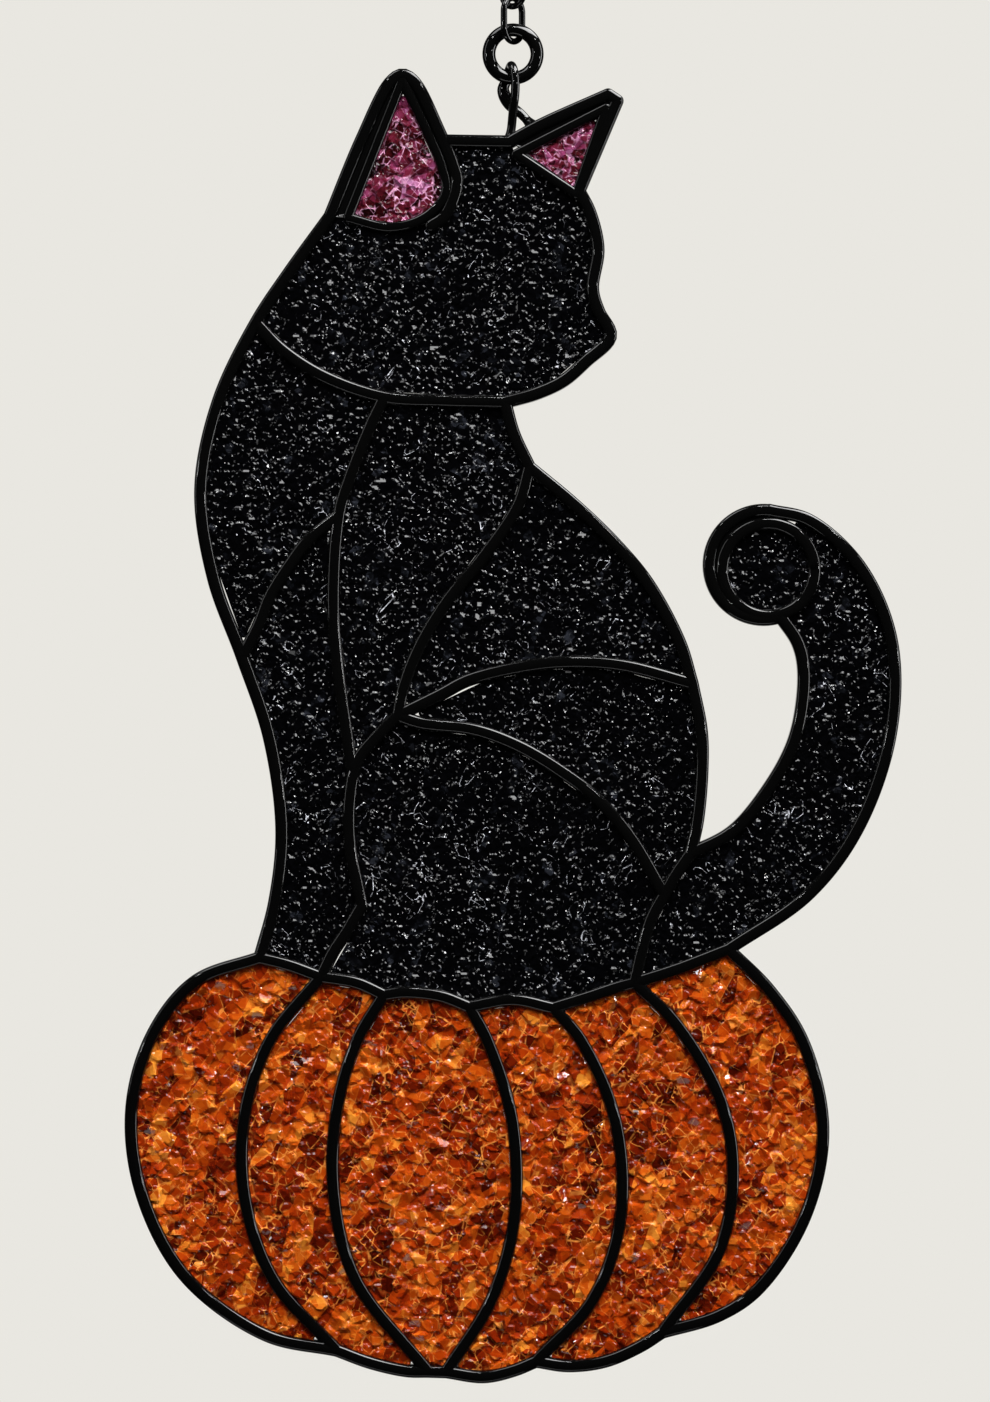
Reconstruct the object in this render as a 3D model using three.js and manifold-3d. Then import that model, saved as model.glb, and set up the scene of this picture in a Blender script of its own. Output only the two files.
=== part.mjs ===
// Crushed glass suncatcher: a black cat sitting on a pumpkin, hung by a loop, a ring and a chain.
// Millimetres, +Z up. The front faces -Y, with +X on the right of someone who looks at it.
// The origin is the top of the end ring's eye, where a hook or nail carries the whole piece.

import * as THREE from "three";
import { mergeVertices } from "three/addons/utils/BufferGeometryUtils.js";
import Module from "manifold-3d";

const wasm = await Module();
wasm.setup();

// Driving sizes
const figureHeight = 262.8; // foot of the pumpkin to the tip of the taller ear

const cameWidth = 2.7; // the black lines of the frame, side to side
const cameDepth = 5.2; // front to back
const cameShoulder = 0.65 * cameDepth; // depth of their straight sides, between the rounded faces
const earBeadWidth = 2.2; // slimmer line round the glass of each ear
const curlBeadWidth = 2.7; // line round the disc in the curl of the tail
const surroundDepth = 0.73 * cameDepth; // blind wall between a window's bead and the came outside it

const glassThickness = 3.0; // crushed glass and resin that fill each cell
const fitGap = 0.3; // left between pieces that touch

const loopWire = 1.8; // wire of the loop on the head
const socketWall = 0.5; // of the raised socket round each end
const socketRise = 2.6; // of the socket above the middle of its came
const ringOuter = 12.3; // ring above the loop, and the ring at the end of the chain
const ringWire = 2.66;
const linkLength = 10.0;
const linkWidth = 7.0;
const linkWire = 1.34;
const linkCount = 5;
const evenLinkTurn = -40; // degrees round the vertical, away from the plane of the figure
const oddLinkTurn = 50;

// Fineness of the facets
const facetSag = 0.17; // the most that a straight facet of a came strays from its drawn curve
const fineSteps = 240; // samples of a curve that the ends of the facets are chosen from
const roundSides = 10; // knuckles and sockets
const wireSides = 8;
const linkSides = 6;
const ringSteps = 16;
const linkSteps = 12;
const loopSteps = 22;

// Drawing of the figure, at the size it was drawn: x from the line of the chain, z above the foot.
// Each line below is the middle of a came. Lines that meet share a junction.
const drawnHeight = 262.8;
const at = {
  leftShoulder: [-50.6, 85.0], // of the pumpkin, where the cat's front paw sits
  collarLeft: [-51.4, 211.8],
  leftEarBase: [-36.6, 233.1],
  leftEarOnHead: [-13.9, 248.2],
  leftEarLap: [-16.4, 231.2],
  crown: [-0.6, 248.0], // where the head, the right ear and the loop meet
  rightEarTipBack: [19.0, 257.4],
  rightEarTipFront: [20.8, 256.2],
  rightEarBase: [13.2, 238.2],
  chin: [-1.6, 196.0],
  chestTop: [-25.7, 197.0],
  shoulder: [3.3, 183.0],
  elbow: [-34.8, 173.4],
  wrist: [-54.1, 145.1],
  hip: [-23.0, 133.4],
  spine: [35.8, 139.8],
  knee: [-32.2, 123.0],
  heel: [-30.2, 95.4],
  notch: [35.4, 105.8], // between the back and the tail
  thigh: [30.2, 97.6],
  curlMouth: [53.4, 153.2],
  curlTop: [51.2, 174.4],
  rightShoulder: [43.0, 86.7],
  toe: [-38.4, 81.2],
  lobe2Top: [-25.8, 77.6],
  lobe3Top: [-8.8, 75.2],
  lobe4Top: [8.0, 75.0],
  lobe5Top: [24.2, 80.0],
  lobe1Foot: [-35.2, 6.6],
  lobe2Foot: [-17.0, 2.4],
  lobe3Foot: [-13.4, 2.3],
  lobe4Foot: [4.6, 4.4],
  lobe5Foot: [29.8, 10.2],
};

// Outside of the cat and of the pumpkin
const cat = {
  flank: [
    at.leftShoulder, [-47.6, 96.3], [-46.2, 110.6], [-48.7, 129.0], at.wrist, [-59.9, 161.0],
    [-62.4, 178.6], [-58.9, 196.1], at.collarLeft, [-45.0, 221.5], at.leftEarBase,
  ],
  leftEar: [
    at.leftEarBase, [-30.2, 248.6], [-24.5, 259.9], [-22.1, 261.4], [-19.7, 259.9], at.leftEarOnHead,
  ],
  head: [at.leftEarOnHead, [-7.6, 248.1], at.crown],
  rightEarBack: [at.crown, [5.4, 251.3], at.rightEarTipBack],
  rightEarTip: [at.rightEarTipBack, at.rightEarTipFront],
  rightEarFront: [at.rightEarTipFront, at.rightEarBase],
  face: [
    at.rightEarBase, [15.4, 233.8], [17.0, 226.6], [15.9, 218.6], [17.1, 214.2], [19.5, 209.2],
    [14.6, 204.2], [10.1, 200.3], [4.8, 197.8], at.chin,
  ],
  throat: [at.chin, [0.2, 189.6], at.shoulder],
  back: [at.shoulder, [12.3, 175.5], [20.5, 167.6], [26.9, 159.9], [33.3, 148.0], at.spine],
  rump: [at.spine, [37.6, 130.6], [37.8, 123.6], [36.9, 112.6], at.notch],
  tailInside: [
    at.notch, [42.8, 109.5], [47.0, 113.4], [54.2, 124.0], [57.0, 131.4], [58.1, 142.3],
    [56.9, 147.9], at.curlMouth,
  ],
  tailOutside: [
    at.curlTop, [59.2, 172.4], [69.2, 163.3], [75.5, 148.8], [75.5, 130.3], [69.0, 111.1],
    [59.0, 97.7], at.rightShoulder,
  ],
};
const tailCurl = { middle: [50.1, 163.5], radius: 10.9, startAngle: -72, endAngle: -276 };
const pumpkin = {
  rightSide: [
    at.rightShoulder, [51.2, 78.5], [58.0, 68.0], [61.9, 50.6], [58.3, 33.3], [49.0, 18.9],
    [41.0, 13.5], at.lobe5Foot,
  ],
  foot5: [at.lobe5Foot, [25.4, 7.4], [18.4, 4.4], [11.0, 3.5], at.lobe4Foot],
  foot4: [at.lobe4Foot, [0.2, 2.6], [-5.8, 1.3], at.lobe3Foot],
  foot3: [at.lobe3Foot, at.lobe2Foot],
  foot2: [at.lobe2Foot, [-21.2, 2.5], [-28.4, 4.1], at.lobe1Foot],
  leftSide: [
    at.lobe1Foot, [-49.5, 9.7], [-65.5, 21.4], [-74.2, 38.0], [-76.2, 54.6], [-72.1, 69.5],
    [-63.6, 80.2], at.leftShoulder,
  ],
};

// Ribs that part the cells
const ribs = {
  collar: [at.collarLeft, [-46.5, 206.8], [-37.9, 201.2], at.chestTop, [-14.6, 196.3], at.chin],
  chest: [
    at.chestTop, [-28.4, 191.4], [-32.9, 180.1], at.elbow, [-35.9, 156.0], [-34.9, 142.2], at.knee,
  ],
  foreleg: [at.elbow, [-40.9, 168.4], [-44.6, 163.5], [-48.5, 157.3], [-50.9, 151.3], at.wrist],
  side: [
    at.shoulder, [1.0, 175.4], [-6.4, 164.5], [-13.0, 156.5], [-18.7, 147.1], [-22.0, 138.6], at.hip,
  ],
  loin: [at.hip, [-14.5, 137.6], [-8.9, 140.5], [3.4, 143.4], [12.3, 144.1], [22.0, 143.4], at.spine],
  haunch: [
    at.hip, [-18.4, 131.9], [-7.8, 130.6], [1.2, 127.3], [9.7, 122.2], [16.6, 116.9], [23.5, 109.0],
    at.thigh,
  ],
  groin: [at.hip, [-27.5, 128.9], [-31.0, 124.4], [-32.6, 117.0], [-32.6, 107.8], at.heel],
  paw: [at.heel, [-33.4, 90.0], [-35.8, 86.4], at.toe],
  buttock: [at.notch, [32.6, 101.8], at.thigh, [27.4, 92.3], at.lobe5Top],
  seat1: [at.leftShoulder, [-45.0, 83.6], at.toe],
  seat2: [at.toe, [-31.2, 80.0], at.lobe2Top],
  seat3: [at.lobe2Top, [-21.6, 78.1], [-14.3, 77.3], at.lobe3Top],
  seat4: [at.lobe3Top, [0.0, 76.6], at.lobe4Top],
  seat5: [at.lobe4Top, [14.8, 77.1], [21.1, 79.2], at.lobe5Top],
  seat6: [at.lobe5Top, [32.9, 82.8], at.rightShoulder],
  lobe1: [at.toe, [-48.5, 68.6], [-53.6, 53.6], [-53.5, 36.6], [-47.8, 20.6], at.lobe1Foot],
  lobe2: [at.lobe2Top, [-31.1, 68.6], [-35.2, 54.6], [-35.8, 37.6], [-31.4, 20.6], at.lobe2Foot],
  lobe3: [at.lobe3Top, [-5.2, 68.6], [-0.2, 52.6], [0.2, 32.6], [-4.4, 16.6], at.lobe3Foot],
  lobe4: [at.lobe4Top, [13.5, 68.6], [20.4, 52.6], [21.4, 32.6], [15.8, 16.6], at.lobe4Foot],
  lobe5: [at.lobe5Top, [32.4, 72.0], [41.4, 56.6], [43.9, 42.6], [41.2, 26.6], at.lobe5Foot],
  earLap: [at.leftEarOnHead, [-12.1, 243.6], [-11.2, 239.7], [-13.6, 233.2], at.leftEarLap],
};

// Beads that hold the glass of the ears, and the one round the disc in the curl of the tail
const leftEarTop = [-22.1, 260.4];
const leftEarHeel = [-33.0, 232.8];
const earBeads = {
  left: [
    [leftEarHeel, leftEarTop],
    [
      leftEarTop, [-17.9, 251.5], [-14.2, 242.9], [-13.5, 237.6], [-17.6, 232.9], [-24.5, 230.9],
      leftEarHeel,
    ],
  ],
  right: [
    [[0.6, 245.5], [18.6, 254.7]],
    [[18.6, 254.7], [12.6, 237.5]],
    [[12.6, 237.5], [0.6, 245.5]],
  ],
};
const curlDisc = { middle: [51.0, 162.5], radius: 9.24, startAngle: 0, endAngle: 360 };

// Wire of the loop from its foot on the head, over the ring, to its foot on the ear: x, the share
// of the loop's reach in front of or behind the ring, z
const loopTop = 263.4;
const loopLean = [0.4, -1.2]; // x where it starts and ends its turn over the ring
const loopTurnSteps = 4;
const loopFront = [[-0.8, 0, 247.8], [-0.3, -0.1, 251.0], [0.0, -0.5, 254.2], [0.4, -0.9, 257.6]];
const loopBack = [[-2.2, 0.95, 258.8], [-0.7, 0.75, 255.8], [1.6, 0.4, 253.8], [4.2, 0, 250.9]];

// One spot in each cell names the glass that covers it
const blackGlass = "#0b0b0d";
const pinkGlass = "#a8327a";
const orangeGlass = "#d85a12";
const cells = {
  glass_head: { spot: [-17, 220], colour: blackGlass },
  glass_breast: { spot: [-49, 187], colour: blackGlass },
  glass_foreleg: { spot: [-40, 135], colour: blackGlass },
  glass_chest: { spot: [-17, 172], colour: blackGlass },
  glass_back: { spot: [14, 157], colour: blackGlass },
  glass_flank: { spot: [18, 130], colour: blackGlass },
  glass_haunch: { spot: [-3, 107], colour: blackGlass },
  glass_tail: { spot: [67, 136], colour: blackGlass },
  glass_pumpkin_1: { spot: [-64, 50], colour: orangeGlass },
  glass_pumpkin_2: { spot: [-45, 50], colour: orangeGlass },
  glass_pumpkin_3: { spot: [-18, 50], colour: orangeGlass },
  glass_pumpkin_4: { spot: [10, 50], colour: orangeGlass },
  glass_pumpkin_5: { spot: [31, 50], colour: orangeGlass },
  glass_pumpkin_6: { spot: [51, 50], colour: orangeGlass },
};

// Points and lines of the drawing
const drawn = figureHeight / drawnHeight;
const spot = ([x, z]) => new THREE.Vector2(x * drawn, z * drawn);
const unit = (from, to) => new THREE.Vector2().subVectors(to, from).normalize();

// A smooth line through the given points, as facets that keep within facetSag of it.
function smoothLine(points) {
  const places = points.map(spot);
  if (places.length === 2) return places;
  const curve = new THREE.CatmullRomCurve3(places.map((p) => new THREE.Vector3(p.x, p.y, 0)));
  const fine = curve.getSpacedPoints(fineSteps).map((p) => new THREE.Vector2(p.x, p.y));
  const kept = [0];
  for (let i = 2; i <= fineSteps; i += 1) {
    const start = kept.at(-1);
    const middle = fine[Math.round((start + i) / 2)].clone().sub(fine[start]);
    const sag = Math.abs(middle.cross(unit(fine[start], fine[i])));
    if (sag > facetSag) kept.push(i - 1);
  }
  return [...kept, fineSteps].map((i) => fine[i]);
}

const facetsOf = (radius, degrees) =>
  Math.ceil(Math.abs(degrees) / 2 / THREE.MathUtils.radToDeg(Math.acos(1 - facetSag / radius)));

function arcLine({ middle, radius, startAngle, endAngle }) {
  const steps = facetsOf(radius * drawn, endAngle - startAngle);
  const hub = spot(middle);
  return Array.from({ length: steps + 1 }, (_, i) => {
    const angle = THREE.MathUtils.degToRad(THREE.MathUtils.lerp(startAngle, endAngle, i / steps));
    return new THREE.Vector2(Math.cos(angle), Math.sin(angle)).multiplyScalar(radius * drawn).add(hub);
  });
}

// Line made of straight stretches in the plane of the figure, with a section at each corner.
const depthAxis = new THREE.Vector3(0, 1, 0);
class StationPath extends THREE.Curve {
  constructor(stations) {
    super();
    this.stations = stations.map((p) => new THREE.Vector3(p.x, 0, p.y));
  }

  getPointAt(u) {
    return this.stations[Math.round(u * (this.stations.length - 1))].clone();
  }

  getTangentAt(u) {
    const last = this.stations.length - 1;
    const i = Math.round(u * last);
    const before = this.stations[Math.max(0, i - 1)];
    const here = this.stations[i];
    const after = this.stations[Math.min(last, i + 1)];
    const arriving = new THREE.Vector3().subVectors(here, before).normalize();
    const leaving = new THREE.Vector3().subVectors(after, here).normalize();
    return arriving.add(leaving).normalize();
  }

  computeFrenetFrames(steps) {
    const tangents = Array.from({ length: steps + 1 }, (_, i) => this.getTangentAt(i / steps));
    const normals = tangents.map(() => depthAxis.clone());
    const binormals = tangents.map((t) => new THREE.Vector3().crossVectors(t, depthAxis));
    return { tangents, normals, binormals };
  }
}

// Solids
function solidOf(geometry) {
  const bare = geometry.clone();
  bare.deleteAttribute("normal");
  bare.deleteAttribute("uv");
  const merged = mergeVertices(bare, 1e-4);
  const corners = Array.from(merged.index.array);
  const faces = [];
  for (let i = 0; i < corners.length; i += 3) {
    const [a, b, c] = corners.slice(i, i + 3);
    if (a !== b && b !== c && c !== a) faces.push(a, b, c);
  }
  return new wasm.Manifold(new wasm.Mesh({
    numProp: 3,
    vertProperties: Float32Array.from(merged.attributes.position.array),
    triVerts: Uint32Array.from(faces),
  }));
}

function geometryOf(solid) {
  const mesh = solid.getMesh();
  const geometry = new THREE.BufferGeometry();
  geometry.setAttribute("position", new THREE.BufferAttribute(Float32Array.from(mesh.vertProperties), 3));
  geometry.setIndex(new THREE.BufferAttribute(Uint32Array.from(mesh.triVerts), 1));
  geometry.computeVertexNormals();
  return geometry;
}

const joined = (solids) => solids.reduce((whole, next) => whole.add(next));
const without = (solid, cuts) => cuts.reduce((rest, cut) => rest.subtract(cut), solid);

// A flat piece with the given outline, centred on the plane of the figure.
function slab(outline, thickness) {
  const geometry = new THREE.ExtrudeGeometry(new THREE.Shape(outline), {
    depth: thickness,
    bevelEnabled: false,
  });
  geometry.rotateX(Math.PI / 2);
  geometry.translate(0, thickness / 2, 0);
  return solidOf(geometry);
}

// Half of a section's outline as half width against depth: a came is rounded, a cutter is square.
const cameHalf = (width) => [
  [width / 4, -cameDepth / 2],
  [width / 2, -cameShoulder / 2],
  [width / 2, cameShoulder / 2],
  [width / 4, cameDepth / 2],
];
const cutterHalf = (width) => [[width / 2, -cameDepth], [width / 2, cameDepth]];

function bar(line, half) {
  const right = half.map(([across, deep]) => new THREE.Vector2(deep, across));
  const left = half.map(([across, deep]) => new THREE.Vector2(deep, -across)).reverse();
  return solidOf(new THREE.ExtrudeGeometry(new THREE.Shape([...right, ...left]), {
    steps: line.length - 1,
    bevelEnabled: false,
    extrudePath: new StationPath(line),
  }));
}

// A turned boss with the came's own section, which fills the corner where two bars meet.
function knuckle(place, half) {
  const outline = half.map(([across, deep]) => new THREE.Vector2(across, deep));
  outline.unshift(new THREE.Vector2(0, outline[0].y));
  outline.push(new THREE.Vector2(0, outline.at(-1).y));
  const geometry = new THREE.LatheGeometry(outline, roundSides);
  geometry.translate(place.x, 0, place.y);
  return solidOf(geometry);
}

// A closed round bead, as a profile turned about its own middle.
function roundBead({ middle, radius, startAngle, endAngle }, half) {
  const out = half.map(([across, deep]) => new THREE.Vector2(radius * drawn + across, deep));
  const back = half.map(([across, deep]) => new THREE.Vector2(radius * drawn - across, deep)).reverse();
  const steps = facetsOf(radius * drawn, endAngle - startAngle);
  const geometry = new THREE.LatheGeometry([...out, ...back, out[0]], steps);
  const hub = spot(middle);
  geometry.translate(hub.x, 0, hub.y);
  return solidOf(geometry);
}

// Lines of the frame
const rightEarLines = [cat.rightEarBack, cat.rightEarTip, cat.rightEarFront].map(smoothLine);
const outlineLines = [
  smoothLine(cat.flank),
  smoothLine(cat.leftEar),
  smoothLine(cat.head),
  ...rightEarLines,
  smoothLine(cat.face),
  smoothLine(cat.throat),
  smoothLine(cat.back),
  smoothLine(cat.rump),
  smoothLine(cat.tailInside),
  arcLine(tailCurl),
  smoothLine(cat.tailOutside),
  ...Object.values(pumpkin).map(smoothLine),
];
const ribLines = Object.values(ribs).map(smoothLine);
const cameLines = [...outlineLines, ...ribLines];
const silhouette = outlineLines.flatMap((line) => line.slice(0, -1));
const tees = [at.collarLeft, at.wrist, at.elbow, at.thigh]; // a rib ends against a came that runs on
const corners = Object.values(at).filter((place) => !tees.includes(place)).map(spot);

const beadLines = {
  left: earBeads.left.map(smoothLine),
  right: earBeads.right.map(smoothLine),
};
const ringOutline = (lines) => lines.flatMap((line) => line.slice(0, -1));
const discOutline = arcLine(curlDisc).slice(0, -1);

// Bars and knuckles of one group of lines, as cames or, wider by the gap, as cutters for the glass.
function network(lines, places, half) {
  return joined([...lines.map((line) => bar(line, half)), ...places.map((place) => knuckle(place, half))]);
}

function beadNetwork(lines, half) {
  return network(lines, lines.map((line) => line[0]), half);
}

// A window is glass with a bead of its own inside a blind surround: the two ears and the tail's curl.
const leftEarOutline = [...smoothLine(cat.leftEar), ...smoothLine(ribs.earLap)];
const windows = [
  {
    name: "glass_left_ear",
    colour: pinkGlass,
    surround: leftEarOutline,
    pane: ringOutline(beadLines.left).reverse(),
    bead: (half) => beadNetwork(beadLines.left, half),
    width: earBeadWidth,
  },
  {
    name: "glass_right_ear",
    colour: pinkGlass,
    surround: rightEarLines.flat(),
    pane: ringOutline(beadLines.right),
    bead: (half) => beadNetwork(beadLines.right, half),
    width: earBeadWidth,
  },
  {
    name: "glass_tail_curl",
    colour: blackGlass,
    surround: arcLine(tailCurl),
    pane: discOutline,
    bead: (half) => roundBead(curlDisc, half),
    width: curlBeadWidth,
  },
];

// Loop of wire on the head: it stands in two sockets and bends over the ring's own wire.
const loopReach = (ringWire + loopWire) / 2 + fitGap;
const loopTurn = Array.from({ length: loopTurnSteps + 1 }, (_, i) => {
  const angle = (Math.PI * i) / loopTurnSteps;
  const x = THREE.MathUtils.lerp(...loopLean, i / loopTurnSteps) * drawn;
  return new THREE.Vector3(
    x, -loopReach * Math.cos(angle), loopTop * drawn - loopReach * (1 - Math.sin(angle)));
});
const loopSpot = ([x, share, z]) => new THREE.Vector3(x * drawn, share * loopReach, z * drawn);
const loopPlaces = [...loopFront.map(loopSpot), ...loopTurn, ...loopBack.map(loopSpot)];
const loopPath = new THREE.CatmullRomCurve3(loopPlaces);
const loopFeet = [
  { foot: loopPlaces[0], next: loopPlaces[1] },
  { foot: loopPlaces.at(-1), next: loopPlaces.at(-2) },
];

function wireAlong(path, radius, steps) {
  const section = Array.from({ length: wireSides }, (_, i) => {
    const angle = (2 * Math.PI * i) / wireSides;
    return new THREE.Vector2(Math.cos(angle), Math.sin(angle)).multiplyScalar(radius);
  });
  return solidOf(new THREE.ExtrudeGeometry(new THREE.Shape(section), {
    steps,
    bevelEnabled: false,
    extrudePath: path,
  }));
}

// A round peg along the wire, from below its foot to above it.
function peg({ foot, next }, topRadius, footRadius, below, above) {
  const geometry = new THREE.CylinderGeometry(topRadius, footRadius, below + above, roundSides);
  geometry.translate(0, (above - below) / 2, 0);
  const along = new THREE.Vector3().subVectors(next, foot).normalize();
  geometry.applyQuaternion(new THREE.Quaternion().setFromUnitVectors(depthAxis, along));
  geometry.translate(foot.x, foot.y, foot.z);
  return solidOf(geometry);
}

const boreRadius = loopWire / 2 + fitGap;
const sockets = loopFeet.map((leg) =>
  peg(leg, boreRadius + socketWall, boreRadius + 2 * socketWall, 0, socketRise));
const bores = loopFeet.map((leg) => peg(leg, boreRadius, boreRadius, fitGap, 2 * socketRise));

// Frame: every bar and knuckle joined, with a blind surround behind the beads of each window.
const surrounds = windows.map(({ surround, pane }) =>
  slab(surround, surroundDepth).subtract(slab(pane, cameDepth)));
const frameSolid = without(
  joined([
    network(cameLines, corners, cameHalf(cameWidth)),
    ...windows.map(({ bead, width }) => bead(cameHalf(width))),
    ...surrounds,
    ...sockets,
  ]),
  bores,
);

// Glass: a slab of the whole outline, cut by cutters that are wider than the cames by the gap.
const cutWidth = (width) => width + 2 * fitGap;
const cameCutter = network(cameLines, corners, cutterHalf(cutWidth(cameWidth)));
const beadCutters = windows.map(({ bead, width }) => bead(cutterHalf(cutWidth(width))));
const blinds = windows.flatMap(({ surround, pane }) =>
  [slab(surround, cameDepth), slab(pane, cameDepth)]);
const socketCutters = loopFeet.map((leg) =>
  peg(leg, boreRadius + socketWall + fitGap, boreRadius + 2 * socketWall + fitGap, fitGap, socketRise));
const fills = without(
  slab(silhouette, glassThickness),
  [cameCutter, ...beadCutters, ...blinds, ...socketCutters],
).decompose();

// True where the solid lies behind the given spot, seen from the front.
function covers(solid, place) {
  const { vertProperties: v, triVerts: t, numProp } = solid.getMesh();
  const corner = (i) => new THREE.Vector3(v[t[i] * numProp], v[t[i] * numProp + 2], 0);
  const target = new THREE.Vector3(place.x, place.y, 0);
  for (let i = 0; i < t.length; i += 3) {
    const face = new THREE.Triangle(corner(i), corner(i + 1), corner(i + 2));
    if (face.getArea() > 0 && face.containsPoint(target)) return true;
  }
  return false;
}

// Sizes and places of the ring and the chain, from the origin down
const ringHole = ringOuter / 2 - ringWire;
const linkHole = linkLength / 2 - linkWire;
const endRingHeight = -ringHole;
const topLinkHeight = endRingHeight - ringHole + fitGap - linkHole;
const linkPitch = 2 * linkHole - fitGap;
const linkHeight = (fromTop) => topLinkHeight - linkPitch * fromTop;
const ringHeight = linkHeight(linkCount - 1) - linkHole + fitGap - ringHole;
const figureZ = ringHeight - ringHole + fitGap + loopWire / 2 - loopTop * drawn;

function ringGeometry() {
  const geometry = new THREE.TorusGeometry((ringOuter - ringWire) / 2, ringWire / 2, wireSides, ringSteps);
  geometry.rotateX(Math.PI / 2);
  return geometryOf(solidOf(geometry));
}

// A link is a ring pulled out at its waist: the two facets there become its straight legs.
function linkGeometry() {
  const halfFacet = Math.PI / linkSteps;
  const radius = (linkWidth - linkWire) / 2 / Math.cos(halfFacet);
  const geometry = new THREE.TorusGeometry(radius, linkWire / 2, linkSides, linkSteps);
  geometry.rotateZ(halfFacet);
  geometry.computeBoundingBox();
  const pull = linkLength / 2 - geometry.boundingBox.max.y;
  const place = geometry.getAttribute("position");
  for (let i = 0; i < place.count; i += 1) {
    place.setY(i, place.getY(i) + Math.sign(place.getY(i)) * pull);
  }
  geometry.rotateX(Math.PI / 2);
  return geometryOf(solidOf(geometry));
}

// Materials
const blackEnamel = new THREE.MeshStandardMaterial({ color: "#0a0a0b", roughness: 0.18, metalness: 0.0 });
const glassOf = (color) => new THREE.MeshStandardMaterial({ color, roughness: 0.12, metalness: 0.0 });

// Assembly
function named(name, geometry, material) {
  const mesh = new THREE.Mesh(geometry, material);
  mesh.name = name;
  return mesh;
}

const figure = new THREE.Group();
figure.position.z = figureZ;
figure.add(named("came_frame", geometryOf(frameSolid), blackEnamel));
for (const [name, cell] of Object.entries(cells)) {
  const fill = fills.find((piece) => covers(piece, spot(cell.spot)));
  figure.add(named(name, geometryOf(fill), glassOf(cell.colour)));
}
for (const { name, colour, pane, bead, width } of windows) {
  const fill = without(slab(pane, glassThickness), [cameCutter, bead(cutterHalf(cutWidth(width)))]);
  figure.add(named(name, geometryOf(fill), glassOf(colour)));
}
figure.add(named("hanging_loop", geometryOf(wireAlong(loopPath, loopWire / 2, loopSteps)), blackEnamel));

const suncatcher = new THREE.Group();
suncatcher.add(figure);
const hangingRing = named("hanging_ring", ringGeometry(), blackEnamel);
hangingRing.position.z = ringHeight;
suncatcher.add(hangingRing);
for (let i = 0; i < linkCount; i += 1) {
  const link = named(`chain_link_${i + 1}`, linkGeometry(), blackEnamel);
  link.position.z = linkHeight(linkCount - 1 - i);
  link.rotation.z = THREE.MathUtils.degToRad(i % 2 === 0 ? oddLinkTurn : evenLinkTurn);
  suncatcher.add(link);
}
const endRing = named("end_ring", ringGeometry(), blackEnamel);
endRing.position.z = endRingHeight;
suncatcher.add(endRing);

export default suncatcher;
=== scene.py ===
"""Crushed glass suncatcher: a black cat sitting on a pumpkin, hung by a loop, a ring and a chain.

Lengths are in mm in the drawing and in the functions that work out the shapes, and in metres in
the settings and the meshes. The front faces -Y, +Z is up, and the origin is the top of the end
ring's eye.
"""

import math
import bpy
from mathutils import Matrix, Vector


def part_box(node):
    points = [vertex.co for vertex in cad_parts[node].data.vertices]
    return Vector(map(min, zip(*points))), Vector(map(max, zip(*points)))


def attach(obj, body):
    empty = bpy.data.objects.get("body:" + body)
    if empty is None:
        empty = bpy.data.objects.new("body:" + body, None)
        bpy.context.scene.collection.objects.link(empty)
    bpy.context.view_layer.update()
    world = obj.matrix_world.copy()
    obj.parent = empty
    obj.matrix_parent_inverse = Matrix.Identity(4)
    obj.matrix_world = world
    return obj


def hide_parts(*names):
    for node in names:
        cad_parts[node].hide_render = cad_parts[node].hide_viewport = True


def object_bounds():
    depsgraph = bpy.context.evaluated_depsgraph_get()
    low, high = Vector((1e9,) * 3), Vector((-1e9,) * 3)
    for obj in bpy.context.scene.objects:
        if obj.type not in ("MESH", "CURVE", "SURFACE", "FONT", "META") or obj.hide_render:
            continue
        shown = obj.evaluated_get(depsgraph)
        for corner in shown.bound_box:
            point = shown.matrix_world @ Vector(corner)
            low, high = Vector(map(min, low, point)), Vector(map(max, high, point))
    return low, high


bl_info = {
    "name": "Crushed glass suncatcher",
    "version": (1, 0, 0),
    "blender": (4, 5, 0),
    "location": "3D View > Sidebar > Suncatcher",
    "description": "A cat on a pumpkin in crushed glass, with its frame, loop, ring and chain",
    "category": "Object",
}

import bpy
import numpy as np
from bpy.props import FloatProperty, FloatVectorProperty, IntProperty, PointerProperty
from bpy.types import Operator, Panel, PropertyGroup
from mathutils import Vector
from mathutils.geometry import tessellate_polygon

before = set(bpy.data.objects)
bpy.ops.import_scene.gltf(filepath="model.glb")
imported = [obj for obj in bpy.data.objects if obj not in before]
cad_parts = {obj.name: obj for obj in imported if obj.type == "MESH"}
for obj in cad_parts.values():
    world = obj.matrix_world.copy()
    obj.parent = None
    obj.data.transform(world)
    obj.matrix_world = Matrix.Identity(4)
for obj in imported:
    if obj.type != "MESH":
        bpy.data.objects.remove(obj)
CAD_LOW, CAD_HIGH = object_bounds()

MM = 0.001
FIT_GAP = 0.3  # between pieces that touch, in mm, as in the CAD
CAME_SPACING = 0.9  # from one section of a came to the next, in mm
PLATE_SHARE = 0.73  # depth of a blind wall beside an ear or the curl, as a share of the came's
PLATE_SPACING = 1.5  # from one corner of a blind wall to the next, in mm
BOSS_CORE = 0.02  # radius at which the ends of a boss are closed, in mm
LOOP_SPACING = 0.3  # from one section of the loop to the next, in mm
FLARE_RISE = 3.0  # solder round a foot of the loop, above the middle of its came, in mm
FLARE_RADIUS = 1.8
FLARE_LEAST = 0.02  # solder that is left on the wire at the top of its rise, in mm
POOLED_ENAMEL = 0.4  # on the wire behind the ring, where it hung as it dried, in mm
POOL_AT = 0.74  # share of the loop's length, from the front foot
POOL_SPREAD = 0.10
RING_STEPS = 72  # sections round a ring
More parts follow.
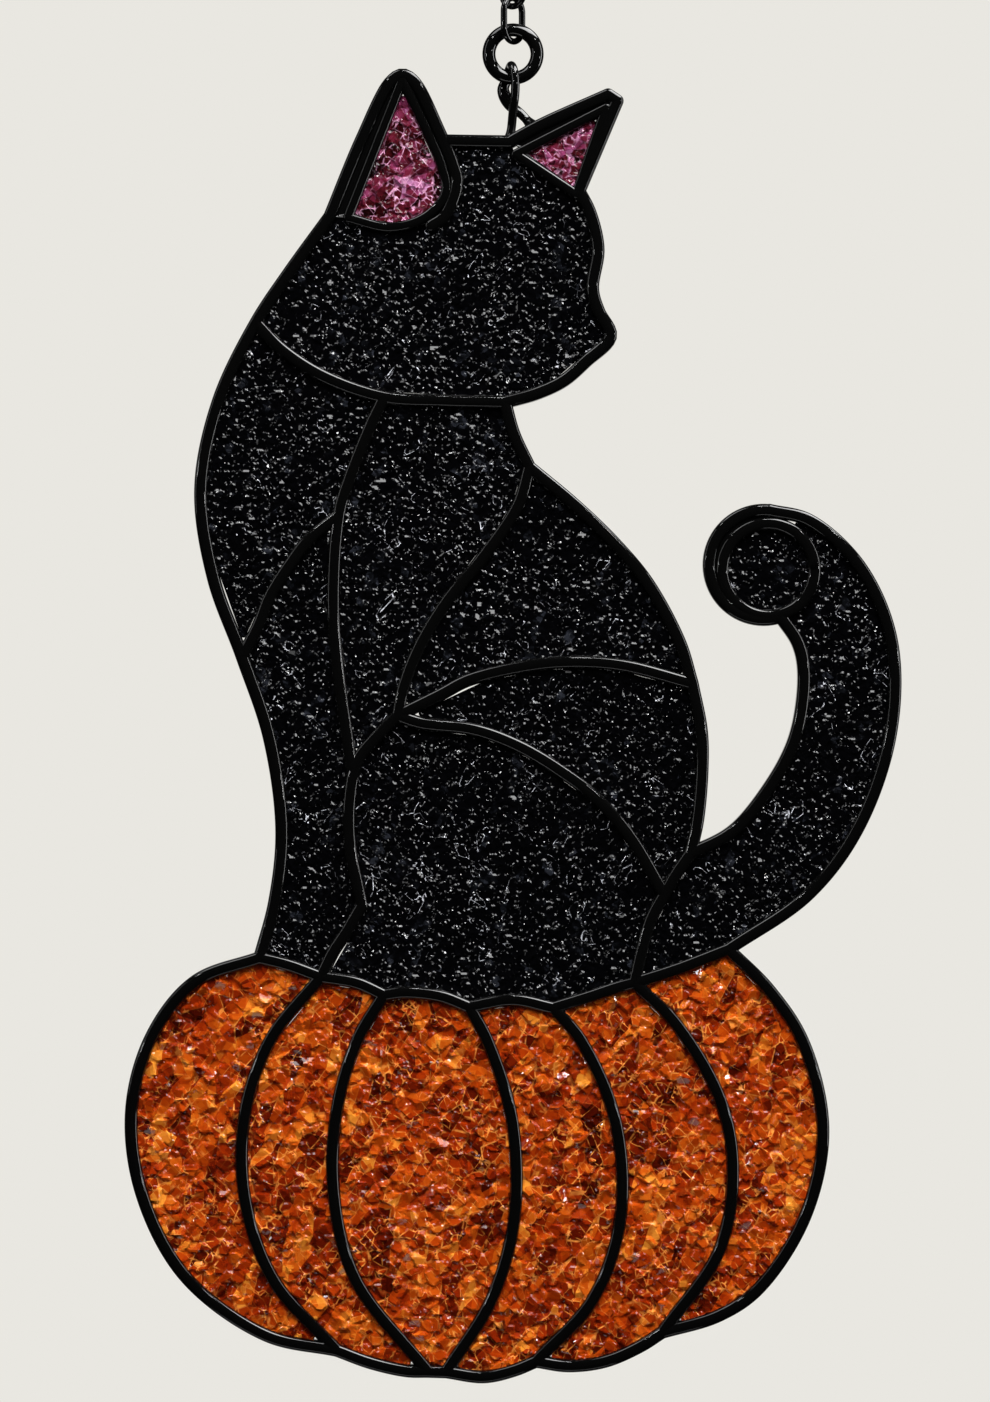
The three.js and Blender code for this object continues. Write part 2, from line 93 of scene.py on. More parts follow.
LINK_STEPS = 56  # sections round a link
SHARP_EDGE = math.radians(50)  # steeper edges are creases, such as the rim of a cut end
TUCK = 0.45  # how far the crushed glass runs in under the came, in mm
HEAP_MARGIN = 3  # cells of grains outside a pane's box, on each side
RESIN_LEVEL = -0.14  # of the resin between the grains, as a share of a grain
FOOT_HEIGHT = CAD_LOW.z  # foot of the pumpkin

ENAMEL_RUN = 4.0  # length of the slow waves in the enamel, in mm

# Pattern of the crushed glass. Sizes are in mm. Each layer of shards, from the top one down, has its
# share in the colour, its size as a share of the top one's, its turn in radians and how many times
# as long as wide its shards are.
LAYERS = ((0.50, 1.0, 0.6, 2.2), (0.26, 0.75, -0.8, 2.0), (0.12, 0.55, 1.7, 1.5))
GRAIN_SHARE = 0.12  # of the modelled grain in the colour
# Painted glints: pale marks in the glass's colour along the rims of shards and in scattered specks, where
# light would catch a broken edge.
TOP_RIM = 0.055  # reach of a lit rim from a shard's edge, as a share of the shard
SECOND_RIM = 0.06
BRIGHT_CORE = 0.4  # of a rim's reach
SPECK_SIZE = 0.9  # cell that may hold one speck
SPECK_REACH = 0.22  # of a speck from its middle, as a share of its cell
SPECK_CORE = 0.12
WANDER_SIZE = 3.0  # length over which the rims stray from straight
WANDER = 0.2  # how far they stray
DENT_DEPTH = 0.2  # of the small dents in the grains' faces

# Drawing of the figure: x from the line of the chain, z above the foot of the pumpkin, in mm.
# Each line is the middle of a came, and lines that meet share a junction.
AT = {
    "left_shoulder": (-50.6, 85.0),
    "collar_left": (-51.4, 211.8),
    "left_ear_base": (-36.6, 233.1),
    "left_ear_on_head": (-13.9, 248.2),
    "left_ear_lap": (-16.4, 231.2),
    "crown": (-0.6, 248.0),
    "right_ear_tip_back": (19.0, 257.4),
    "right_ear_tip_front": (20.8, 256.2),
    "right_ear_base": (13.2, 238.2),
    "chin": (-1.6, 196.0),
    "chest_top": (-25.7, 197.0),
    "shoulder": (3.3, 183.0),
    "elbow": (-34.8, 173.4),
    "wrist": (-54.1, 145.1),
    "hip": (-23.0, 133.4),
    "spine": (35.8, 139.8),
    "knee": (-32.2, 123.0),
    "heel": (-30.2, 95.4),
    "notch": (35.4, 105.8),
    "thigh": (30.2, 97.6),
    "curl_mouth": (53.4, 153.2),
    "curl_top": (51.2, 174.4),
    "right_shoulder": (43.0, 86.7),
    "toe": (-38.4, 81.2),
    "lobe_2_top": (-25.8, 77.6),
    "lobe_3_top": (-8.8, 75.2),
    "lobe_4_top": (8.0, 75.0),
    "lobe_5_top": (24.2, 80.0),
    "lobe_1_foot": (-35.2, 6.6),
    "lobe_2_foot": (-17.0, 2.4),
    "lobe_3_foot": (-13.4, 2.3),
    "lobe_4_foot": (4.6, 4.4),
    "lobe_5_foot": (29.8, 10.2),
}
LEFT_EAR = [
    "left_ear_base", (-30.2, 248.6), (-24.5, 259.9), (-22.1, 261.4), (-19.7, 259.9), "left_ear_on_head",
]
EAR_LAP = ["left_ear_on_head", (-12.1, 243.6), (-11.2, 239.7), (-13.6, 233.2), "left_ear_lap"]
RIGHT_EAR = [
    ["crown", (5.4, 251.3), "right_ear_tip_back"],
    ["right_ear_tip_back", "right_ear_tip_front"],
    ["right_ear_tip_front", "right_ear_base"],
]
OUTLINE = [
    ["left_shoulder", (-47.6, 96.3), (-46.2, 110.6), (-48.7, 129.0), "wrist", (-59.9, 161.0),
     (-62.4, 178.6), (-58.9, 196.1), "collar_left", (-45.0, 221.5), "left_ear_base"],
    LEFT_EAR,
    ["left_ear_on_head", (-7.6, 248.1), "crown"],
    *RIGHT_EAR,
    ["right_ear_base", (15.4, 233.8), (17.0, 226.6), (15.9, 218.6), (17.1, 214.2), (19.5, 209.2),
     (14.6, 204.2), (10.1, 200.3), (4.8, 197.8), "chin"],
    ["chin", (0.2, 189.6), "shoulder"],
    ["shoulder", (12.3, 175.5), (20.5, 167.6), (26.9, 159.9), (33.3, 148.0), "spine"],
    ["spine", (37.6, 130.6), (37.8, 123.6), (36.9, 112.6), "notch"],
    ["notch", (42.8, 109.5), (47.0, 113.4), (54.2, 124.0), (57.0, 131.4), (58.1, 142.3),
     (56.9, 147.9), "curl_mouth"],
    ["curl_top", (59.2, 172.4), (69.2, 163.3), (75.5, 148.8), (75.5, 130.3), (69.0, 111.1),
     (59.0, 97.7), "right_shoulder"],
    ["right_shoulder", (51.2, 78.5), (58.0, 68.0), (61.9, 50.6), (58.3, 33.3), (49.0, 18.9),
     (41.0, 13.5), "lobe_5_foot"],
    ["lobe_5_foot", (25.4, 7.4), (18.4, 4.4), (11.0, 3.5), "lobe_4_foot"],
    ["lobe_4_foot", (0.2, 2.6), (-5.8, 1.3), "lobe_3_foot"],
    ["lobe_3_foot", "lobe_2_foot"],
    ["lobe_2_foot", (-21.2, 2.5), (-28.4, 4.1), "lobe_1_foot"],
    ["lobe_1_foot", (-49.5, 9.7), (-65.5, 21.4), (-74.2, 38.0), (-76.2, 54.6), (-72.1, 69.5),
     (-63.6, 80.2), "left_shoulder"],
]
RIBS = [
    ["collar_left", (-46.5, 206.8), (-37.9, 201.2), "chest_top", (-14.6, 196.3), "chin"],
    ["chest_top", (-28.4, 191.4), (-32.9, 180.1), "elbow", (-35.9, 156.0), (-34.9, 142.2), "knee"],
    ["elbow", (-40.9, 168.4), (-44.6, 163.5), (-48.5, 157.3), (-50.9, 151.3), "wrist"],
    ["shoulder", (1.0, 175.4), (-6.4, 164.5), (-13.0, 156.5), (-18.7, 147.1), (-22.0, 138.6), "hip"],
    ["hip", (-14.5, 137.6), (-8.9, 140.5), (3.4, 143.4), (12.3, 144.1), (22.0, 143.4), "spine"],
    ["hip", (-18.4, 131.9), (-7.8, 130.6), (1.2, 127.3), (9.7, 122.2), (16.6, 116.9), (23.5, 109.0),
     "thigh"],
    ["hip", (-27.5, 128.9), (-31.0, 124.4), (-32.6, 117.0), (-32.6, 107.8), "heel"],
    ["heel", (-33.4, 90.0), (-35.8, 86.4), "toe"],
    ["notch", (32.6, 101.8), "thigh", (27.4, 92.3), "lobe_5_top"],
    ["left_shoulder", (-45.0, 83.6), "toe"],
    ["toe", (-31.2, 80.0), "lobe_2_top"],
    ["lobe_2_top", (-21.6, 78.1), (-14.3, 77.3), "lobe_3_top"],
    ["lobe_3_top", (0.0, 76.6), "lobe_4_top"],
    ["lobe_4_top", (14.8, 77.1), (21.1, 79.2), "lobe_5_top"],
    ["lobe_5_top", (32.9, 82.8), "right_shoulder"],
    ["toe", (-48.5, 68.6), (-53.6, 53.6), (-53.5, 36.6), (-47.8, 20.6), "lobe_1_foot"],
    ["lobe_2_top", (-31.1, 68.6), (-35.2, 54.6), (-35.8, 37.6), (-31.4, 20.6), "lobe_2_foot"],
    ["lobe_3_top", (-5.2, 68.6), (-0.2, 52.6), (0.2, 32.6), (-4.4, 16.6), "lobe_3_foot"],
    ["lobe_4_top", (13.5, 68.6), (20.4, 52.6), (21.4, 32.6), (15.8, 16.6), "lobe_4_foot"],
    ["lobe_5_top", (32.4, 72.0), (41.4, 56.6), (43.9, 42.6), (41.2, 26.6), "lobe_5_foot"],
    EAR_LAP,
]
# Junctions where a came only runs into the side of another, and that have no boss.
TEES = ("collar_left", "wrist", "elbow", "thigh")
# Beads round the pink glass, line by line, then the outer and the inner line of the tail's curl.
LEFT_EAR_BEAD = [
    [(-33.0, 232.8), (-22.1, 260.4)],
    [(-22.1, 260.4), (-17.9, 251.5), (-14.2, 242.9), (-13.5, 237.6), (-17.6, 232.9), (-24.5, 230.9),
     (-33.0, 232.8)],
]
RIGHT_EAR_BEAD = [
    [(0.6, 245.5), (18.6, 254.7)],
    [(18.6, 254.7), (12.6, 237.5)],
    [(12.6, 237.5), (0.6, 245.5)],
]
TAIL_CURL = {"middle": (50.1, 163.5), "radius": 10.9, "turn": (-72.0, -276.0)}
CURL_DISC = {"middle": (51.0, 162.5), "radius": 9.24, "turn": (0.0, 360.0)}
# Loop: x and z of each leg's points, with y between them as a share of its reach over the ring's wire.
LOOP_TOP = 263.4
LOOP_FRONT = [(-0.8, 0.0, 247.8), (-0.3, -0.1, 251.0), (0.0, -0.5, 254.2), (0.4, -0.9, 257.6)]
LOOP_BACK = [(-1.95, 0.88, 258.8), (-0.7, 0.75, 255.8), (1.6, 0.4, 253.8), (4.2, 0.0, 250.9)]
LOOP_LEAN = (0.4, -1.2)  # x where its top starts in front and ends behind

BLACK_PANES = ["head", "breast", "foreleg", "chest", "back", "flank", "haunch", "tail", "tail_curl"]
ORANGE_PANES = ["pumpkin_1", "pumpkin_2", "pumpkin_3", "pumpkin_4", "pumpkin_5", "pumpkin_6"]
PINK_PANES = ["left_ear", "right_ear"]
LINKS = ["chain_link_1", "chain_link_2", "chain_link_3", "chain_link_4", "chain_link_5"]


def linear(colour):
    """Linear red, green and blue of an sRGB hex colour."""
    parts = [int(colour[i:i + 2], 16) / 255 for i in (1, 3, 5)]
    return tuple(c / 12.92 if c <= 0.04045 else ((c + 0.055) / 1.055) ** 2.4 for c in parts)


def middle_height(node):
    """Height of the middle of a CAD node's box, in mm."""
    low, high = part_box(node)
    return (low.z + high.z) / 2 / MM


class SuncatcherFrameSizes(PropertyGroup):
    """Sizes of the black frame and of what it hangs by."""

    came_width: FloatProperty(
        name="Came width", description="Side to side", default=2.7 * MM, unit="LENGTH")
    came_depth: FloatProperty(
        name="Came depth", description="Front to back", default=5.2 * MM, unit="LENGTH")
    ear_bead: FloatProperty(
        name="Ear bead", description="Line round the pink glass", default=2.2 * MM, unit="LENGTH")
    curl_bead: FloatProperty(
        name="Curl bead", description="Line round the disc in the tail", default=2.7 * MM, unit="LENGTH")
    squareness: FloatProperty(
        name="Squareness", description="Power of the came's section, 2 for an ellipse", default=4.2)
    loop_wire: FloatProperty(
        name="Loop wire", description="Diameter", default=1.8 * MM, unit="LENGTH")
    ring_outer: FloatProperty(
        name="Ring", description="Outer diameter", default=12.3 * MM, unit="LENGTH")
    ring_wire: FloatProperty(
        name="Ring wire", description="Diameter", default=2.66 * MM, unit="LENGTH")
    link_length: FloatProperty(
        name="Link length", description="Outer length", default=10.0 * MM, unit="LENGTH")
    link_width: FloatProperty(
        name="Link width", description="Outer width", default=7.0 * MM, unit="LENGTH")
    link_wire: FloatProperty(
        name="Link wire", description="Diameter", default=1.34 * MM, unit="LENGTH")
    odd_turn: FloatProperty(
        name="Odd links", description="Turn about the chain", default=math.radians(50), subtype="ANGLE")
    even_turn: FloatProperty(
        name="Even links", description="Turn about the chain", default=math.radians(-40), subtype="ANGLE")


class SuncatcherGlassSizes(PropertyGroup):
    """Sizes of the crushed glass."""

    thickness: FloatProperty(
        name="Thickness", description="Of the resin that holds the grains", default=2.7 * MM, unit="LENGTH")
    black_grain: FloatProperty(
        name="Black grain", description="Typical grain", default=1.3 * MM, unit="LENGTH")
    orange_grain: FloatProperty(
        name="Orange grain", description="Typical grain", default=2.3 * MM, unit="LENGTH")
    pink_grain: FloatProperty(
        name="Pink grain", description="Typical grain", default=1.9 * MM, unit="LENGTH")
    facet: FloatProperty(
        name="Facet", description="Smallest facet that is modelled", default=0.38 * MM, unit="LENGTH")
    seed: IntProperty(name="Seed", description="Changes how the grains fall", default=7)


class SuncatcherColours(PropertyGroup):
    """Colours of the enamel and of the stage."""

    enamel: FloatVectorProperty(
        name="Enamel", description="Frame and chain", subtype="COLOR", default=linear("#050505"))
    floor: FloatVectorProperty(
        name="Floor", description="Floor of the stage", subtype="COLOR", default=linear("#E4E2DC"))
    backdrop: FloatVectorProperty(
        name="Backdrop", description="Behind the object", subtype="COLOR", default=linear("#E9E7E1"))


# Curves and meshes


def curve_through(points, spacing, span_steps=40):
    """Smooth curve through the given points and junctions, in the plane or in space.

    Each span is a cubic whose end slopes come from the neighbouring points, weighted by the square
    root of their distances, and the samples are then spread evenly by length along it.
    """
    knots = np.array([AT[p] if isinstance(p, str) else p for p in points], float)
    if len(knots) == 2:
        count = max(2, int(np.linalg.norm(knots[1] - knots[0]) / spacing) + 1)
        return knots[0] + np.linspace(0, 1, count)[:, None] * (knots[1] - knots[0])
    padded = np.vstack([2 * knots[0] - knots[1], knots, 2 * knots[-1] - knots[-2]])
    gap = np.sqrt(np.linalg.norm(np.diff(padded, axis=0), axis=1))[:, None]
    p0, p1, p2, p3 = padded[:-3], padded[1:-2], padded[2:-1], padded[3:]
    g0, g1, g2 = gap[:-2], gap[1:-1], gap[2:]
    leave = ((p1 - p0) / g0 - (p2 - p0) / (g0 + g1) + (p2 - p1) / g1) * g1
    arrive = ((p2 - p1) / g1 - (p3 - p1) / (g1 + g2) + (p3 - p2) / g2) * g1
    t = np.linspace(0, 1, span_steps, endpoint=False)[None, :, None]
    p1, p2, leave, arrive = (a[:, None, :] for a in (p1, p2, leave, arrive))
    square = 3 * (p2 - p1) - 2 * leave - arrive
    cube = 2 * (p1 - p2) + leave + arrive
    fine = p1 + leave * t + square * t ** 2 + cube * t ** 3
    fine = np.vstack([fine.reshape(-1, knots.shape[1]), knots[-1:]])
    length = np.append(0, np.cumsum(np.linalg.norm(np.diff(fine, axis=0), axis=1)))
    at = np.linspace(0, length[-1], max(3, int(length[-1] / spacing) + 1))
    return np.stack([np.interp(at, length, fine[:, k]) for k in range(knots.shape[1])], axis=1)


def arc_through(middle, radius, turn, spacing):
    """Arc of a circle in the drawing's plane, from one angle in degrees to another."""
    steps = int(abs(math.radians(turn[1] - turn[0])) * radius / spacing) + 1
    angle = np.radians(np.linspace(turn[0], turn[1], steps + 1))
    return np.array(middle) + radius * np.stack([np.cos(angle), np.sin(angle)], axis=1)


def came_section(width, depth, power, sides=24):
    """Closed section of a came as (across, deep): an ellipse with its corners filled out.

    Across and deep are half the width and half the depth, times the cosine and the sine of the
    angle raised to 2 / power with their signs kept.
    """
    angle = np.linspace(0, 2 * math.pi, sides, endpoint=False)
    c, s = np.cos(angle), np.sin(angle)
    return np.stack([
        width / 2 * np.sign(c) * np.abs(c) ** (2 / power),
        depth / 2 * np.sign(s) * np.abs(s) ** (2 / power),
    ], axis=1)


def grid_faces(rows, sides, closed_rows=False):
    """Triangles of a tube of rows, each with the given number of points round it."""
    i, j = np.meshgrid(np.arange(rows if closed_rows else rows - 1), np.arange(sides), indexing="ij")
    a = i * sides + j
    b = i * sides + (j + 1) % sides
    c = (i + 1) % rows * sides + (j + 1) % sides
    d = (i + 1) % rows * sides + j
    return np.concatenate([np.stack([a, b, c], -1).reshape(-1, 3), np.stack([a, c, d], -1).reshape(-1, 3)])


def capped(verts, rows, sides):
    """Faces of an open tube of rows, and the fans that close its two ends."""
    ring = np.arange(sides)
    first = np.stack([np.full(sides - 2, 0), ring[2:], ring[1:-1]], axis=1)
    last = np.stack([np.full(sides - 2, 0), ring[1:-1], ring[2:]], axis=1) + (rows - 1) * sides
    return outward(verts, np.concatenate([grid_faces(rows, sides), first, last]))


def outward(verts, faces):
    """The faces, turned over where the volume that they enclose comes out negative."""
    a, b, c = (verts[faces[:, k]] for k in range(3))
    return faces if np.einsum("ij,ij->", a, np.cross(b, c)) > 0 else faces[:, ::-1]


def swept_came(path, section):
    """A section carried along a plane path: each point is the path's point, plus its across along
    the path's left-hand normal, plus its deep along Y."""
    tangent = np.gradient(path, axis=0)
    tangent /= np.linalg.norm(tangent, axis=1)[:, None]
    across = np.stack([-tangent[:, 1], tangent[:, 0]], axis=1)
    plane = path[:, None, :] + across[:, None, :] * section[None, :, :1]
    deep = np.broadcast_to(section[None, :, 1], plane.shape[:2])
    verts = np.stack([plane[..., 0], deep, plane[..., 1]], axis=-1).reshape(-1, 3)
    return verts, capped(verts, len(path), len(section))


def turned_boss(place, section, around=24):
    """A section turned about the line through its own middle, along Y: the boss at a junction."""
    ordered = section[np.argsort(section[:, 1])]
    right = ordered[ordered[:, 0] > 1e-6]
    right = np.vstack([[BOSS_CORE, right[0, 1]], right, [BOSS_CORE, right[-1, 1]]])
    angle = np.linspace(0, 2 * math.pi, around, endpoint=False)
    x = place[0] + right[:, :1] * np.cos(angle)
    z = place[1] + right[:, :1] * np.sin(angle)
    y = np.broadcast_to(right[:, 1:2], x.shape)
    verts = np.stack([x, y, z], axis=-1).reshape(-1, 3)
    return verts, capped(verts, len(right), around)


def wire_along(path, radius, closed=False, sides=16):
    """Round wire along a path in space. The circle at each point lies across the path: its first
    direction is at right angles to the path and to a fixed one, which the path never runs along,
    and its second is at right angles to both. A closed path lies upright, across Y."""
    if closed:
        tangent = np.roll(path, -1, axis=0) - np.roll(path, 1, axis=0)
    else:
        tangent = np.gradient(path, axis=0)
    tangent /= np.linalg.norm(tangent, axis=1)[:, None]
    flat = np.cross(tangent, (0, 1, 0) if closed else (1, 0, 0))
    flat /= np.linalg.norm(flat, axis=1)[:, None]
    other = np.cross(tangent, flat)
    angle = np.linspace(0, 2 * math.pi, sides, endpoint=False)
    c, s = np.cos(angle)[None, :, None], np.sin(angle)[None, :, None]
    circle = flat[:, None, :] * c + other[:, None, :] * s
    verts = (path[:, None, :] + np.asarray(radius).reshape(-1, 1, 1) * circle).reshape(-1, 3)
    if closed:
        return verts, outward(verts, grid_faces(len(path), sides, closed_rows=True))
    return verts, capped(verts, len(path), sides)


def plate(rings, depth):
    """Flat plate inside the first ring of plane points and outside the others, of the given depth."""
    flat = np.concatenate(rings)
    front = np.array(tessellate_polygon([[Vector((x, z, 0)) for x, z in ring] for ring in rings]))
    count = len(flat)
    verts = np.concatenate([
        np.stack([flat[:, 0], np.full(count, -depth / 2), flat[:, 1]], axis=1),
        np.stack([flat[:, 0], np.full(count, depth / 2), flat[:, 1]], axis=1),
    ])
    normal = np.cross(verts[front[:, 1]] - verts[front[:, 0]], verts[front[:, 2]] - verts[front[:, 0]])
    front = np.where(normal[:, 1:2] > 0, front[:, ::-1], front)
    return verts, closed_by_walls(front, count)


def closed_by_walls(front, count):
    """Faces of a closed body: the front, its copy behind turned over, and walls round their rims.
    The vertex behind each front vertex is the given count further on."""
    rim = rim_edges(np.concatenate([front[:, [0, 1]], front[:, [1, 2]], front[:, [2, 0]]]), count)
    return np.concatenate([
        front,
        front[:, ::-1] + count,
        np.stack([rim[:, 1], rim[:, 0], rim[:, 0] + count], axis=1),
        np.stack([rim[:, 1], rim[:, 0] + count, rim[:, 1] + count], axis=1),
    ])


def rim_edges(edges, count):
    """The directed edges that no face uses the other way round."""
    forward = edges[:, 0] * count + edges[:, 1]
    backward = edges[:, 1] * count + edges[:, 0]
    return edges[~np.isin(forward, backward)]


def gathered(shells):
    """Several closed shells as one list of vertices and one of faces."""
    verts, faces, start = [], [], 0
    for v, f in shells:
        verts.append(v)
        faces.append(f + start)
        start += len(v)
    return np.concatenate(verts), np.concatenate(faces)


def loop_path(sizes):
    """Middle line of the loop in the drawing: up in front of the ring, over its wire in a half
    circle that also leans sideways, and down behind it."""
    reach = (sizes.ring_wire + sizes.loop_wire) / 2 / MM + FIT_GAP
    knots = 5
    angle = np.linspace(0, math.pi, knots)
    top = np.stack([
        np.linspace(*LOOP_LEAN, knots), -reach * np.cos(angle), LOOP_TOP - reach * (1 - np.sin(angle)),
    ], axis=1)
    front, back = ([(x, share * reach, z) for x, share, z in leg] for leg in (LOOP_FRONT, LOOP_BACK))
    return curve_through([*front, *top.tolist(), *back], LOOP_SPACING)


def figure_height():
    """Height of the foot of the pumpkin in the frame: the loop's top stands over the lower inside
    of the hanging ring by the fit gap that the CAD keeps."""
    sizes = bpy.context.scene.suncatcher_frame
    ring_hole = (sizes.ring_outer / 2 - sizes.ring_wire) / MM
    return middle_height("hanging_ring") - ring_hole + FIT_GAP + sizes.loop_wire / 2 / MM - LOOP_TOP


def add_piece(name, verts, faces, material, replaced, smooth=True):
    """A mesh object from arrays in mm. It rides on the root body and stands for its CAD node."""
    mesh = bpy.data.meshes.new(name)
    mesh.vertices.add(len(verts))
    mesh.vertices.foreach_set("co", (verts * MM).astype(np.float32).ravel())
    mesh.loops.add(faces.size)
    mesh.loops.foreach_set("vertex_index", faces.astype(np.int32).ravel())
    mesh.polygons.add(len(faces))
    mesh.polygons.foreach_set("loop_start", np.arange(0, faces.size, 3, dtype=np.int32))
    mesh.update(calc_edges=True)
    mesh.polygons.foreach_set("use_smooth", np.full(len(faces), smooth))
    if smooth:
        mesh.set_sharp_from_angle(angle=SHARP_EDGE)
    mesh.materials.append(material)
    piece = bpy.data.objects.new(name, mesh)
    bpy.context.scene.collection.objects.link(piece)
    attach(piece, "root")
    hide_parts(replaced)
    return piece


# Materials


def add_node(tree, kind, inputs=None, **settings):
    """Adds a node, sets its properties, and sets or links its inputs."""
    node = tree.nodes.new(kind)
    for name, value in settings.items():
        setattr(node, name, value)
    for name, value in (inputs or {}).items():
        if isinstance(value, bpy.types.NodeSocket):
            tree.links.new(value, node.inputs[name])
        else:
            node.inputs[name].default_value = value
    return node


def new_material(name):
    """An empty material and its node tree."""
    material = bpy.data.materials.new(name)
    material.use_nodes = True
    material.node_tree.nodes.clear()
    return material, material.node_tree


def finish_material(material, tree, shader):
    """Links the shader to the material's output, and gives the material back."""
    add_node(tree, "ShaderNodeOutputMaterial", {"Surface": shader.outputs[0]})
    return material


def set_ramp(node, stops):
    """Gives a colour ramp its stops, as places and hex colours."""
    ramp = node.color_ramp
    while len(ramp.elements) > 1:
        ramp.elements.remove(ramp.elements[-1])
    ramp.elements[0].position = stops[0][0]
    ramp.elements[0].color = (*linear(stops[0][1]), 1)
    for place, colour in stops[1:]:
        ramp.elements.new(place).color = (*linear(colour), 1)
    return node


def enamel_material():
    """Glossy black enamel, dipped and baked over a soldered metal frame. It pools in corners and
    runs thin on edges, so the face stays black and only narrow lines along the edges shine."""
    colours = bpy.context.scene.suncatcher_colours
    material, tree = new_material("dipped_black_enamel")
    place = add_node(tree, "ShaderNodeTexCoord")
    runs = add_node(tree, "ShaderNodeTexNoise", {
        "Vector": place.outputs["Object"], "Scale": 1 / (ENAMEL_RUN * MM), "Detail": 2.0,
    })
    bump = add_node(tree, "ShaderNodeBump", {
        "Height": runs.outputs["Fac"], "Strength": 0.2, "Distance": 0.1 * MM,
    })
    gloss = add_node(tree, "ShaderNodeBsdfPrincipled", {
        "Base Color": (*colours.enamel, 1),
        "Roughness": 0.06,
        "IOR": 1.5,
        "Normal": bump.outputs["Normal"],
    })
    return finish_material(material, tree, gloss)


def enamel():
    """The one enamel that the frame and the chain share."""
    return bpy.data.materials.get("dipped_black_enamel") or enamel_material()


def shards(tree, where, size, turn, pull):
    """Cells of one layer of shards, drawn out along a direction: two random shares of each, and the
    distance to its edge as a share of a shard."""
    drawn_out = add_node(tree, "ShaderNodeMapping", {
        "Vector": where, "Rotation": (0, turn, 0), "Scale": (1, 1, pull),
    }, vector_type="TEXTURE")
    scale = 1 / (size * MM)
    cells = add_node(tree, "ShaderNodeTexVoronoi", {
        "Vector": drawn_out.outputs["Vector"], "Scale": scale,
    })
    rims = add_node(tree, "ShaderNodeTexVoronoi", {
        "Vector": drawn_out.outputs["Vector"], "Scale": scale,
    }, feature="DISTANCE_TO_EDGE")
    chance = add_node(tree, "ShaderNodeSeparateXYZ", {"Vector": cells.outputs["Color"]})
    return chance.outputs["X"], chance.outputs["Y"], rims.outputs["Distance"]


